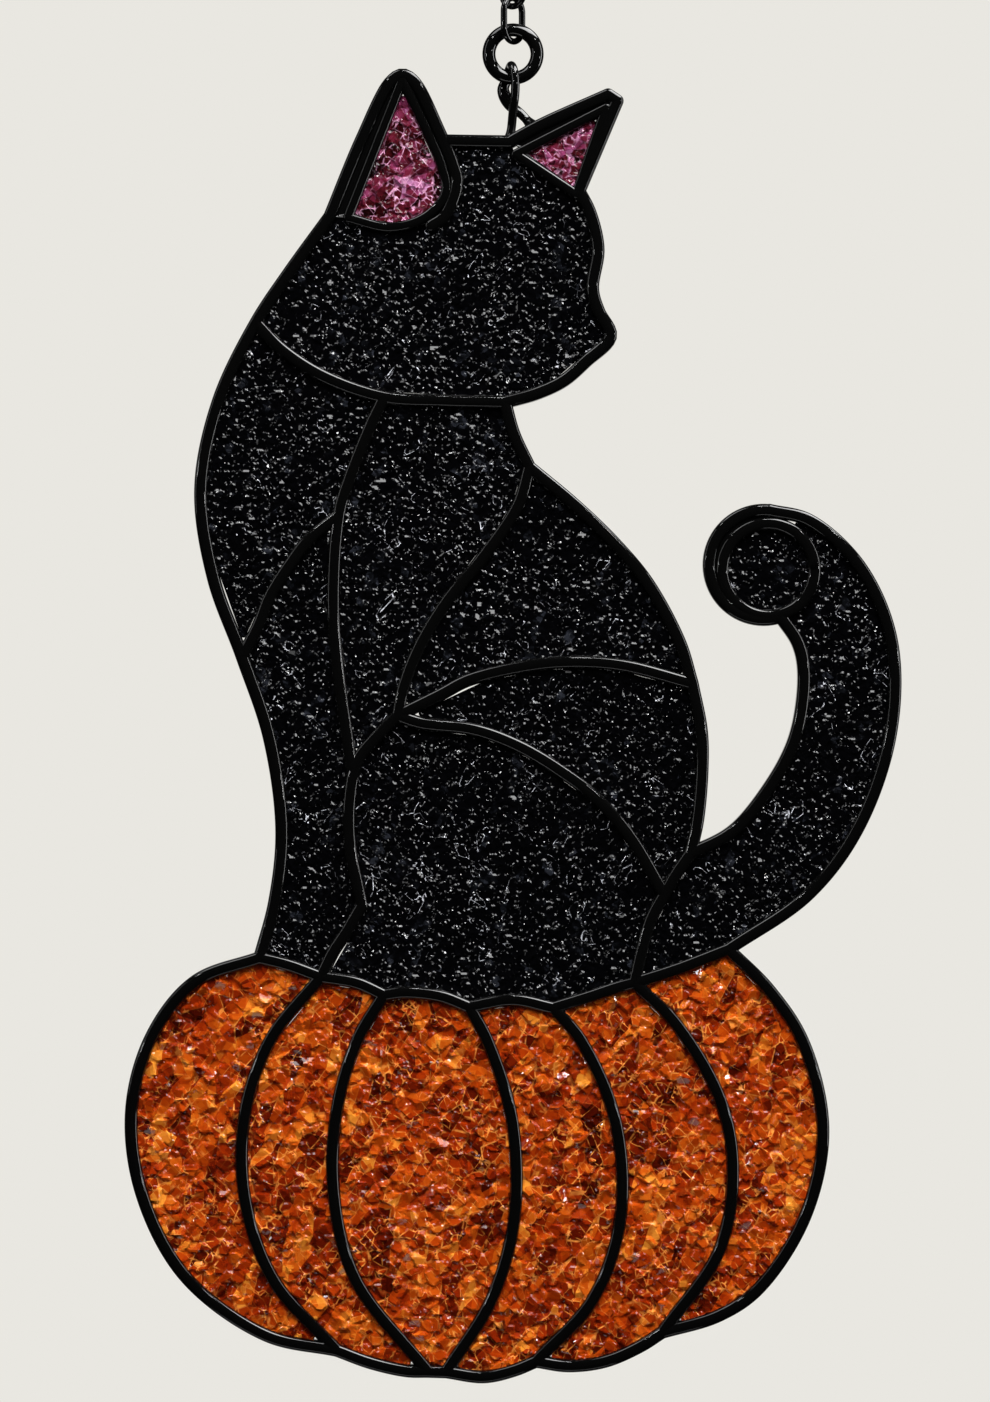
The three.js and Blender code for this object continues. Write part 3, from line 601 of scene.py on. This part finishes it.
def crushed_glass_material(name, stops, glint_colour, shard, glint_stroke_share, glint_speck_share, foot_lift,
                           transmission, specular, fade):
    """Crushed soda glass, poured as grains into clear resin. Layers of shards show through each
    other in angular steps of colour, and here and there the glint of light on a broken rim is
    painted into the colour as a pale thin stroke or a dot. The thinnest strokes would be
    hairlines, and are drawn 0.2 mm wide so that they show. The shard is in mm, and the painted
    glints fade in where a noise runs from one value of fade to the other."""
    material, tree = new_material(name)
    place = add_node(tree, "ShaderNodeTexCoord")
    wander = add_node(tree, "ShaderNodeTexNoise", {
        "Vector": place.outputs["Object"], "Scale": 1 / (WANDER_SIZE * MM), "Detail": 1.0,
    })
    shift = add_node(tree, "ShaderNodeVectorMath", {
        0: wander.outputs["Color"], 1: (WANDER * MM, WANDER * MM, WANDER * MM),
    }, operation="MULTIPLY")
    bent = add_node(tree, "ShaderNodeVectorMath", {
        0: place.outputs["Object"], 1: shift.outputs["Vector"],
    })
    where = bent.outputs["Vector"]
    layers = [shards(tree, where, size * shard, turn, pull) for _, size, turn, pull in LAYERS]

    grain = add_node(tree, "ShaderNodeAttribute", attribute_name="tone")
    tone = add_node(tree, "ShaderNodeMath", {
        0: grain.outputs["Fac"], 1: GRAIN_SHARE,
    }, operation="MULTIPLY")
    for (layer_tone, _, _), (share, *_) in zip(layers, LAYERS):
        tone = add_node(tree, "ShaderNodeMath", {
            0: layer_tone, 1: share, 2: tone.outputs["Value"],
        }, operation="MULTIPLY_ADD")
    # The tone rises by up to the foot lift from the pumpkin's shoulder down to its foot, so the glass is
    # lighter low down.
    height = add_node(tree, "ShaderNodeSeparateXYZ", {"Vector": place.outputs["Object"]})
    foot = add_node(tree, "ShaderNodeMapRange", {
        "Value": height.outputs["Z"],
        "From Min": FOOT_HEIGHT + AT["left_shoulder"][1] * MM,
        "From Max": FOOT_HEIGHT,
        "To Min": 0.0,
        "To Max": foot_lift,
    })
    tone = add_node(tree, "ShaderNodeMath", {
        0: tone.outputs["Value"], 1: foot.outputs["Result"],
    }, operation="ADD")
    colour = set_ramp(add_node(tree, "ShaderNodeValToRGB", {"Fac": tone.outputs["Value"]}), stops)

    # Painted glints: pale strokes along the rims of the top two layers of shards, and pale dots in
    # scattered cells, all mixed into the base colour.
    speck = add_node(tree, "ShaderNodeTexVoronoi", {"Vector": where, "Scale": 1 / (SPECK_SIZE * MM)})
    speck_chance = add_node(tree, "ShaderNodeSeparateXYZ", {"Vector": speck.outputs["Color"]})
    (_, top_chance, top_rim), (_, second_chance, second_rim) = layers[:2]
    painted_glints = 0.0
    for distance, reach, core, chance, share in (
        (top_rim, TOP_RIM, BRIGHT_CORE * TOP_RIM, top_chance, glint_stroke_share),
        (second_rim, SECOND_RIM, BRIGHT_CORE * SECOND_RIM, second_chance, glint_stroke_share),
        (speck.outputs["Distance"], SPECK_REACH, SPECK_CORE, speck_chance.outputs["Z"], glint_speck_share),
    ):
        shape = add_node(tree, "ShaderNodeMapRange", {
            "Value": distance, "From Min": reach, "From Max": core,
        })
        chosen = add_node(tree, "ShaderNodeMath", {0: chance, 1: share}, operation="LESS_THAN")
        lit = add_node(tree, "ShaderNodeMath", {
            0: shape.outputs["Result"], 1: chosen.outputs["Value"],
        }, operation="MULTIPLY")
        both = add_node(tree, "ShaderNodeMath", {
            0: painted_glints, 1: lit.outputs["Value"],
        }, operation="MAXIMUM")
        painted_glints = both.outputs["Value"]
    patches = add_node(tree, "ShaderNodeTexNoise", {
        "Vector": place.outputs["Object"], "Scale": 1 / (0.5 * shard * MM), "Detail": 1.0,
    })
    fading = add_node(tree, "ShaderNodeMapRange", {
        "Value": patches.outputs["Fac"], "From Min": fade[0], "From Max": fade[1],
    })
    # The painted glints are strong in some patches and faint in others.
    glint_spread = add_node(tree, "ShaderNodeMapRange", {
        "Value": wander.outputs["Fac"], "From Min": 0.38, "From Max": 0.66, "To Min": 0.05, "To Max": 1.0,
    })
    for dimming in (fading, glint_spread):
        dimmed = add_node(tree, "ShaderNodeMath", {
            0: painted_glints, 1: dimming.outputs["Result"],
        }, operation="MULTIPLY")
        painted_glints = dimmed.outputs["Value"]
    # The painted glints are mixed into the glass's own colour here.
    with_glints = add_node(tree, "ShaderNodeMix", {
        "Factor": painted_glints, "A": colour.outputs["Color"], "B": (*linear(glint_colour), 1),
    }, data_type="RGBA")
    bump = add_node(tree, "ShaderNodeBump", {
        "Height": patches.outputs["Fac"], "Strength": 0.3, "Distance": DENT_DEPTH * MM,
    })
    glass = add_node(tree, "ShaderNodeBsdfPrincipled", {
        "Base Color": with_glints.outputs["Result"],
        "Roughness": 0.06,
        "IOR": 1.5,
        "Specular IOR Level": specular,
        "Transmission Weight": transmission,
        "Normal": bump.outputs["Normal"],
    })
    return finish_material(material, tree, glass)


# Crushed glass


def pane_outline(node):
    """Directed edges of a pane's front face, as pairs of plane points in mm. Corners that lie at
    one spot are counted as one, and the edges are those that only one triangle uses."""
    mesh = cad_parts[node].data
    verts = np.empty(len(mesh.vertices) * 3)
    mesh.vertices.foreach_get("co", verts)
    verts = verts.reshape(-1, 3) / MM
    mesh.calc_loop_triangles()
    tris = np.empty(len(mesh.loop_triangles) * 3, int)
    mesh.loop_triangles.foreach_get("vertices", tris)
    _, same = np.unique(np.round(verts, 3), axis=0, return_inverse=True)
    same = same.ravel()
    tris = same[tris.reshape(-1, 3)]
    spots = np.zeros((same.max() + 1, 3))
    spots[same] = verts
    front = tris[(spots[tris][..., 1] < spots[:, 1].min() + 0.01).all(axis=1)]
    edges = np.concatenate([front[:, [0, 1]], front[:, [1, 2]], front[:, [2, 0]]])
    rim = rim_edges(edges, len(spots))
    return spots[rim][..., [0, 2]]


def inside_depth(points, edges):
    """Distance of each point inside the outline, negative outside, and its nearest outline point.

    Each point is dropped on every edge and the nearest foot is kept. The sign comes from how
    often a line to the right crosses the outline.
    """
    a, b = edges[:, 0], edges[:, 1]
    along = b - a
    best = np.full(len(points), np.inf)
    foot = np.zeros_like(points)
    crossings = np.zeros(len(points), int)
    for start, end, run in zip(a, b, along):
        t = np.clip(((points - start) @ run) / max(run @ run, 1e-12), 0, 1)
        near = start + t[:, None] * run
        away = np.linalg.norm(points - near, axis=1)
        closer = away < best
        best = np.where(closer, away, best)
        foot[closer] = near[closer]
        spans = (start[1] > points[:, 1]) != (end[1] > points[:, 1])
        if abs(run[1]) > 1e-12:
            cross = start[0] + (points[:, 1] - start[1]) * run[0] / run[1]
            crossings += spans & (points[:, 0] < cross)
    return np.where(crossings % 2 == 1, best, -best), foot


class Heap:
    """Broken grains in a heap, one dropped in each cell of a jittered grid.

    A grain is a tilted plane cut down by six steep side planes, so its height is the least of the
    seven, and the heap's height is the greatest of the grains near a point.
    """

    def __init__(self, low, high, grain, rng):
        size = np.ceil((high - low) / grain).astype(int) + 2 * HEAP_MARGIN + 2
        self.grain, self.low = grain, low
        cell = np.indices(size).transpose(1, 2, 0) - HEAP_MARGIN
        self.middle = (cell + rng.uniform(0.1, 0.9, (*size, 2))) * grain + low
        self.level = rng.uniform(0, 0.16, size) * grain
        self.lean = rng.normal(0, 0.26, (*size, 2))
        self.turn = (np.arange(6) * math.pi / 3 + rng.uniform(0, math.pi, (*size, 1))
                     + rng.normal(0, 0.28, (*size, 6)))
        self.reach = rng.uniform(0.38, 0.85, (*size, 6)) * grain
        self.steep = rng.uniform(0.8, 2.0, (*size, 6))
        self.tone = rng.uniform(0, 1, size)

    def at(self, points):
        """Height of the heap at each point, and the tone of the grain on top there."""
        cell = np.floor((points - self.low) / self.grain).astype(int) + HEAP_MARGIN
        top = np.full(len(points), RESIN_LEVEL * self.grain)
        tone = np.zeros(len(points))
        for dx in (-1, 0, 1):
            for dz in (-1, 0, 1):
                spot = (cell[:, 0] + dx, cell[:, 1] + dz)
                off = points - self.middle[spot]
                face = self.level[spot] + (self.lean[spot] * off).sum(axis=1)
                out = off[:, :1] * np.cos(self.turn[spot]) + off[:, 1:] * np.sin(self.turn[spot])
                side = ((self.reach[spot] - out) * self.steep[spot]).min(axis=1)
                height = np.minimum(face, side)
                higher = height > top
                tone = np.where(higher, self.tone[spot], tone)
                top = np.where(higher, height, top)
        return top, tone


def crushed_pane(node, grain, facet, thickness, rng):
    """Closed mesh of a pane of crushed glass, with a tone for each face: a heap's height on a fine
    grid, in front and behind.

    Grid points just outside the pane are pulled on to a contour that lies a little way inside
    the came, so the mesh ends in a clean line under it. Each square of the grid is parted along
    its flatter diagonal.
    """
    edges = pane_outline(node)
    margin = 2 * facet
    low = edges.reshape(-1, 2).min(axis=0) - margin
    high = edges.reshape(-1, 2).max(axis=0) + margin
    count = np.ceil((high - low) / facet).astype(int) + 1
    grid = np.indices(count).transpose(1, 2, 0).reshape(-1, 2) * facet + low
    depth, foot = inside_depth(grid, edges)
    near = depth > -TUCK - 1.5 * facet
    outside = near & (depth < -TUCK)
    pull = foot + (grid - foot) * (TUCK / np.maximum(-depth, 1e-9))[:, None]
    spots = np.where(outside[:, None], pull, grid)
    i, j = np.meshgrid(np.arange(count[0] - 1), np.arange(count[1] - 1), indexing="ij")
    a = (i * count[1] + j).ravel()
    quads = np.stack([a, a + count[1], a + count[1] + 1, a + 1], axis=1)
    quads = quads[near[quads].all(axis=1) & (~outside[quads]).any(axis=1)]
    used, quads = np.unique(quads, return_inverse=True)
    quads, spots = quads.reshape(-1, 4), spots[used]
    heaps = [Heap(low, high, grain, rng) for _ in range(2)]
    front, back = (heap.at(spots)[0] for heap in heaps)
    rises = np.abs(front[quads[:, :2]] - front[quads[:, 2:]])
    first_is_flatter = (rises[:, 0] < rises[:, 1])[:, None]
    one = np.where(first_is_flatter, quads[:, [0, 1, 2]], quads[:, [1, 2, 3]])
    two = np.where(first_is_flatter, quads[:, [0, 2, 3]], quads[:, [1, 3, 0]])
    verts = np.concatenate([
        np.stack([spots[:, 0], -thickness / 2 - front, spots[:, 1]], axis=1),
        np.stack([spots[:, 0], thickness / 2 + back, spots[:, 1]], axis=1),
    ])
    faces = outward(verts, closed_by_walls(np.concatenate([one, two]), len(spots)))
    centre = verts[faces].mean(axis=1)
    front_tone, back_tone = (heap.at(centre[:, [0, 2]])[1] for heap in heaps)
    return verts, faces, np.where(centre[:, 1] < 0, front_tone, back_tone)


def add_panes(panes, grain, material, seed):
    """Replaces each pane of one colour with its crushed glass. A face's tone reaches the material
    as an attribute."""
    sizes = bpy.context.scene.suncatcher_glass
    for number, pane in enumerate(panes):
        rng = np.random.default_rng(1000 * seed + number)
        verts, faces, tone = crushed_pane(
            "glass_" + pane, grain / MM, sizes.facet / MM, sizes.thickness / MM, rng)
        piece = add_piece("crushed_" + pane, verts, faces, material, "glass_" + pane, smooth=False)
        values = piece.data.attributes.new("tone", "FLOAT", "FACE")
        values.data.foreach_set("value", tone.astype(np.float32))


# Operators


class SUNCATCHER_OT_stage(Operator):
    """Makes the floor, the backdrop, the lights and the camera"""

    bl_idname = "suncatcher.stage"
    bl_label = "Stage"

    def execute(self, context):
        colours = context.scene.suncatcher_colours
        context.scene.view_settings.view_transform = "Standard"
        self.add_room(context.scene, colours.backdrop)
        # Places and sizes are in m, and radiances in W a square metre and a steradian.
        self.add_light("front_softbox", (-0.2, -1.1, 1.1), (1.3, 0.8), 9.0, in_gloss=False)
        self.add_light("overhead_softbox", (0.45, -0.20, 0.70), (1.2, 0.42), 13.0)
        self.add_light("overhead_fill", (-0.42, -0.20, 0.70), (0.5, 0.42), 4.5)
        self.add_light("back_softbox", (0.3, 1.1, 0.9), (1.3, 0.8), 8.0, in_gloss=False)
        self.add_light("right_strip", (0.85, -0.10, 0.0), (0.16, 0.8), 9.0)
        self.add_light("left_strip", (-0.85, -0.25, 0.15), (0.14, 0.7), 3.0, in_diffuse=False)
        self.add_light("low_strip", (-0.15, -0.40, -0.95), (0.8, 0.12), 2.5, in_diffuse=False)
        for name, place, radiance in (
            ("spark_upper_left", (-0.75, -1.25, 0.75), 80.0),
            ("spark_upper_right", (0.75, -1.10, 0.60), 80.0),
            ("spark_top", (0.05, -0.90, 1.05), 80.0),
            ("spark_right", (1.15, -0.90, -0.05), 60.0),
            ("spark_left", (-1.10, -1.00, 0.05), 50.0),
        ):
            self.add_light(name, place, (0.07, 0.07), radiance)
        self.add_floor(context.scene, colours.floor)
        self.add_camera(context.scene)
        return {"FINISHED"}

    def add_room(self, scene, colour):
        """A dark room with a bright wall behind the object, all of which the camera sees as bright."""
        world = bpy.data.worlds.new("studio")
        scene.world = world
        world.use_nodes = True
        tree = world.node_tree
        tree.nodes.clear()
        way = add_node(tree, "ShaderNodeTexCoord")
        parts = add_node(tree, "ShaderNodeSeparateXYZ", {"Vector": way.outputs["Generated"]})
        behind = add_node(tree, "ShaderNodeMapRange", {
            "Value": parts.outputs["Y"], "From Min": 0.85, "From Max": 0.98, "To Min": 0.01, "To Max": 1.0,
        })
        room = add_node(tree, "ShaderNodeBackground", {
            "Color": (*colour, 1), "Strength": behind.outputs["Result"],
        })
        seen = add_node(tree, "ShaderNodeBackground", {"Color": (*colour, 1), "Strength": 1.0})
        path = add_node(tree, "ShaderNodeLightPath")
        mix = add_node(tree, "ShaderNodeMixShader", {
            0: path.outputs["Is Camera Ray"], 1: room.outputs[0], 2: seen.outputs[0],
        })
        add_node(tree, "ShaderNodeOutputWorld", {"Surface": mix.outputs[0]})

    def add_floor(self, scene, colour):
        """A pale disc well below the object, which neither lights it nor shows in its gloss."""
        radius = 5.0
        height = -1.0
        corners = 96
        angle = np.linspace(0, 2 * math.pi, corners, endpoint=False)
        rim = np.stack([radius * np.cos(angle), radius * np.sin(angle), np.full(corners, height)], axis=1)
        mesh = bpy.data.meshes.new("floor")
        mesh.from_pydata(rim.tolist(), [], [list(range(corners))])
        floor = bpy.data.objects.new("floor", mesh)
        scene.collection.objects.link(floor)
        material, tree = new_material("matt_plaster_floor")
        matt = add_node(tree, "ShaderNodeBsdfPrincipled", {
            "Base Color": (0.1, 0.1, 0.1, 1),
            "Roughness": 0.9,
            "Emission Color": (*colour, 1),
            "Emission Strength": 0.8,
        })
        floor.data.materials.append(finish_material(material, tree, matt))
        floor.visible_glossy = False
        floor.visible_diffuse = False

    def add_camera(self, scene):
        """A long lens straight in front, which takes in the view's height at the object."""
        distance = 1.2
        view_height = 0.2804
        data = bpy.data.cameras.new("camera")
        data.sensor_width = 36.0
        data.lens = data.sensor_width * distance / view_height
        camera = bpy.data.objects.new("camera", data)
        camera.location = (-0.0036, -distance, -0.17466)
        camera.rotation_euler = (math.pi / 2, 0, 0)
        scene.collection.objects.link(camera)
        scene.camera = camera

    def add_light(self, name, place, size, radiance, in_gloss=True, in_diffuse=True):
        """A soft box of the given radiance that faces the cat and that the camera doesn't see."""
        data = bpy.data.lights.new(name, "AREA")
        data.shape = "RECTANGLE"
        data.size, data.size_y = size
        data.energy = radiance * size[0] * size[1] * math.pi
        light = bpy.data.objects.new(name, data)
        light.location = place
        cat = Vector((0, 0, -0.18))
        light.rotation_euler = (cat - Vector(place)).to_track_quat("-Z", "Y").to_euler()
        light.visible_camera = False
        light.visible_glossy = in_gloss
        light.visible_diffuse = in_diffuse
        bpy.context.scene.collection.objects.link(light)


class SUNCATCHER_OT_frame(Operator):
    """Makes the black frame: cames, beads and the sockets of the loop"""

    bl_idname = "suncatcher.frame"
    bl_label = "Frame"

    def execute(self, context):
        sizes = context.scene.suncatcher_frame
        depth = sizes.came_depth / MM
        section = came_section(sizes.came_width / MM, depth, sizes.squareness)
        ear_section = came_section(sizes.ear_bead / MM, depth, sizes.squareness)
        curl_section = came_section(sizes.curl_bead / MM, depth, sizes.squareness)
        paths = [curve_through(line, CAME_SPACING) for line in OUTLINE + RIBS]
        paths.append(arc_through(**TAIL_CURL, spacing=CAME_SPACING))
        shells = [swept_came(path, section) for path in paths]
        shells += [turned_boss(place, section) for name, place in AT.items() if name not in TEES]
        for lines in (LEFT_EAR_BEAD, RIGHT_EAR_BEAD):
            shells += [swept_came(curve_through(line, CAME_SPACING), ear_section) for line in lines]
            shells += [turned_boss(line[0], ear_section) for line in lines]
        disc = arc_through(**CURL_DISC, spacing=CAME_SPACING)
        shells.append(swept_came(np.vstack([disc, disc[1:3]]), curl_section))
        shells += [plate(rings, PLATE_SHARE * depth) for rings in self.blind_walls()]
        path = loop_path(sizes)
        shells += [self.solder_flare(end, sizes.loop_wire / 2 / MM) for end in (path, path[::-1])]
        verts, faces = gathered(shells)
        verts[:, 2] += figure_height()
        add_piece("lattice", verts, faces, enamel(), "came_frame")
        return {"FINISHED"}

    def blind_walls(self):
        """Rings of points round the walls beside the beads: the outer edge of each, then its hole.
        The crescent in the tail's curl has a single edge."""
        left_ear = np.vstack([
            curve_through(LEFT_EAR, PLATE_SPACING)[:-1],
            curve_through(EAR_LAP, PLATE_SPACING),
        ])
        right_ear = np.vstack([
            *(curve_through(line, PLATE_SPACING)[:-1] for line in RIGHT_EAR),
            AT["right_ear_base"],
        ])
        left_hole, right_hole = (
            np.vstack([curve_through(line, PLATE_SPACING)[:-1] for line in lines])
            for lines in (LEFT_EAR_BEAD, RIGHT_EAR_BEAD)
        )
        first, last = TAIL_CURL["turn"]
        crescent = np.vstack([
            arc_through(**TAIL_CURL, spacing=PLATE_SPACING),
            arc_through(CURL_DISC["middle"], CURL_DISC["radius"], (last, first), PLATE_SPACING),
        ])
        return [left_ear, left_hole], [right_ear, right_hole], [crescent]

    def solder_flare(self, path, wire_radius):
        """Solder drawn up round a foot of the loop: a round bar along the wire, whose radius falls
        from the foot almost to the wire's own with the square of the height still to go."""
        foot = path[:int(FLARE_RISE / LOOP_SPACING)]
        to_go = np.linspace(1, 0, len(foot))
        return wire_along(foot, wire_radius + FLARE_LEAST + (FLARE_RADIUS - wire_radius) * to_go ** 2)


class SUNCATCHER_OT_black_glass(Operator):
    """Fills the cat's cells with crushed black glass"""

    bl_idname = "suncatcher.black_glass"
    bl_label = "Black glass"

    def execute(self, context):
        sizes = context.scene.suncatcher_glass
        stops = [(0.0, "#020203"), (0.70, "#030304"), (0.80, "#0C0D10"), (0.9, "#24262C")]
        # The near-white colour is for painted glints on the grains' rims and in specks.
        material = crushed_glass_material(
            "crushed_black_glass", stops, "#F4F6FF", shard=1.8, glint_stroke_share=0.04, glint_speck_share=0.085,
            foot_lift=0.0, transmission=0.0, specular=0.3, fade=(0.48, 0.62))
        add_panes(BLACK_PANES, sizes.black_grain, material, sizes.seed)
        return {"FINISHED"}


class SUNCATCHER_OT_orange_glass(Operator):
    """Fills the pumpkin's cells with crushed orange glass"""

    bl_idname = "suncatcher.orange_glass"
    bl_label = "Orange glass"

    def execute(self, context):
        sizes = context.scene.suncatcher_glass
        stops = [
            (0.18, "#420B02"), (0.30, "#6C1804"), (0.44, "#982A05"),
            (0.58, "#B03E08"), (0.72, "#CA5810"), (0.86, "#F09430"),
        ]
        # The bright orange is for painted glints along the shards' rims and in specks.
        material = crushed_glass_material(
            "crushed_orange_glass", stops, "#F09440", shard=2.6, glint_stroke_share=0.8, glint_speck_share=0.04,
            foot_lift=0.02, transmission=0.2, specular=0.2, fade=(0.38, 0.54))
        add_panes(ORANGE_PANES, sizes.orange_grain, material, sizes.seed + 1)
        return {"FINISHED"}


class SUNCATCHER_OT_pink_glass(Operator):
    """Fills the ears with crushed pink glass"""

    bl_idname = "suncatcher.pink_glass"
    bl_label = "Pink glass"

    def execute(self, context):
        sizes = context.scene.suncatcher_glass
        stops = [
            (0.20, "#1A0405"), (0.34, "#34090D"), (0.48, "#52131E"),
            (0.60, "#6A1E34"), (0.72, "#883860"), (0.86, "#C080AC"),
        ]
        # The pale pink is for painted glints along the shards' rims and in specks.
        material = crushed_glass_material(
            "crushed_pink_glass", stops, "#E8A8CC", shard=2.4, glint_stroke_share=0.9, glint_speck_share=0.06,
            foot_lift=0.0, transmission=0.2, specular=0.25, fade=(0.40, 0.56))
        add_panes(PINK_PANES, sizes.pink_grain, material, sizes.seed + 2)
        return {"FINISHED"}


class SUNCATCHER_OT_hanger(Operator):
    """Makes the loop on the head, the rings and the chain"""

    bl_idname = "suncatcher.hanger"
    bl_label = "Loop, rings and chain"

    def execute(self, context):
        sizes = context.scene.suncatcher_frame
        path = loop_path(sizes)
        run = np.linspace(0, 1, len(path))
        pooled = POOLED_ENAMEL * np.exp(-((run - POOL_AT) / POOL_SPREAD) ** 2)
        verts, faces = wire_along(path, sizes.loop_wire / 2 / MM + pooled)
        verts[:, 2] += figure_height()
        add_piece("loop_wire", verts, faces, enamel(), "hanging_loop")
        radius = (sizes.ring_outer - sizes.ring_wire) / 2 / MM
        angle = np.linspace(0, 2 * math.pi, RING_STEPS, endpoint=False)
        circle = np.stack([radius * np.cos(angle), 0 * angle, radius * np.sin(angle)], axis=1)
        for name, node in (("hanger_ring", "hanging_ring"), ("top_ring", "end_ring")):
            verts, faces = wire_along(circle, sizes.ring_wire / 2 / MM, closed=True, sides=24)
            verts[:, 2] += middle_height(node)
            add_piece(name, verts, faces, enamel(), node)
        for number, node in enumerate(LINKS):
            verts, faces = wire_along(self.link_path(sizes), sizes.link_wire / 2 / MM, closed=True)
            turn = sizes.odd_turn if number % 2 == 0 else sizes.even_turn
            x, y = verts[:, 0].copy(), verts[:, 1].copy()
            verts[:, 0] = x * math.cos(turn) - y * math.sin(turn)
            verts[:, 1] = x * math.sin(turn) + y * math.cos(turn)
            verts[:, 2] += middle_height(node)
            add_piece(f"link_{number + 1}", verts, faces, enamel(), node)
        return {"FINISHED"}

    def link_path(self, sizes):
        """Oval of a link: two half circles of its wire's middle line, moved apart to its length. It
        starts half a step on, so that no point lies where the halves part."""
        radius = (sizes.link_width - sizes.link_wire) / 2 / MM
        apart = (sizes.link_length - sizes.link_wire) / 2 / MM - radius
        angle = np.linspace(0, 2 * math.pi, LINK_STEPS, endpoint=False) + math.pi / LINK_STEPS
        return np.stack([
            radius * np.cos(angle), 0 * angle, radius * np.sin(angle) + apart * np.sign(np.sin(angle)),
        ], axis=1)


class SUNCATCHER_PT_panel(Panel):
    """Lists the steps and their settings"""

    bl_idname = "SUNCATCHER_PT_panel"
    bl_label = "Suncatcher"
    bl_space_type = "VIEW_3D"
    bl_region_type = "UI"
    bl_category = "Suncatcher"

    def draw(self, context):
        scene = context.scene
        for group in (scene.suncatcher_frame, scene.suncatcher_glass, scene.suncatcher_colours):
            box = self.layout.box()
            for name in group.__annotations__:
                box.prop(group, name)
        for step in OPERATORS:
            self.layout.operator(step.bl_idname)


GROUPS = (SuncatcherFrameSizes, SuncatcherGlassSizes, SuncatcherColours)
OPERATORS = (
    SUNCATCHER_OT_stage, SUNCATCHER_OT_frame, SUNCATCHER_OT_black_glass,
    SUNCATCHER_OT_orange_glass, SUNCATCHER_OT_pink_glass, SUNCATCHER_OT_hanger,
)


def register():
    for cls in (*GROUPS, *OPERATORS, SUNCATCHER_PT_panel):
        bpy.utils.register_class(cls)
    bpy.types.Scene.suncatcher_frame = PointerProperty(type=SuncatcherFrameSizes)
    bpy.types.Scene.suncatcher_glass = PointerProperty(type=SuncatcherGlassSizes)
    bpy.types.Scene.suncatcher_colours = PointerProperty(type=SuncatcherColours)


def unregister():
    del bpy.types.Scene.suncatcher_colours
    del bpy.types.Scene.suncatcher_glass
    del bpy.types.Scene.suncatcher_frame
    for cls in reversed((*GROUPS, *OPERATORS, SUNCATCHER_PT_panel)):
        bpy.utils.unregister_class(cls)


def main():
    """Builds everything in order."""
    register()
    bpy.ops.suncatcher.stage()
    bpy.ops.suncatcher.frame()
    bpy.ops.suncatcher.black_glass()
    bpy.ops.suncatcher.orange_glass()
    bpy.ops.suncatcher.pink_glass()
    bpy.ops.suncatcher.hanger()


if __name__ == "__main__":
    main()
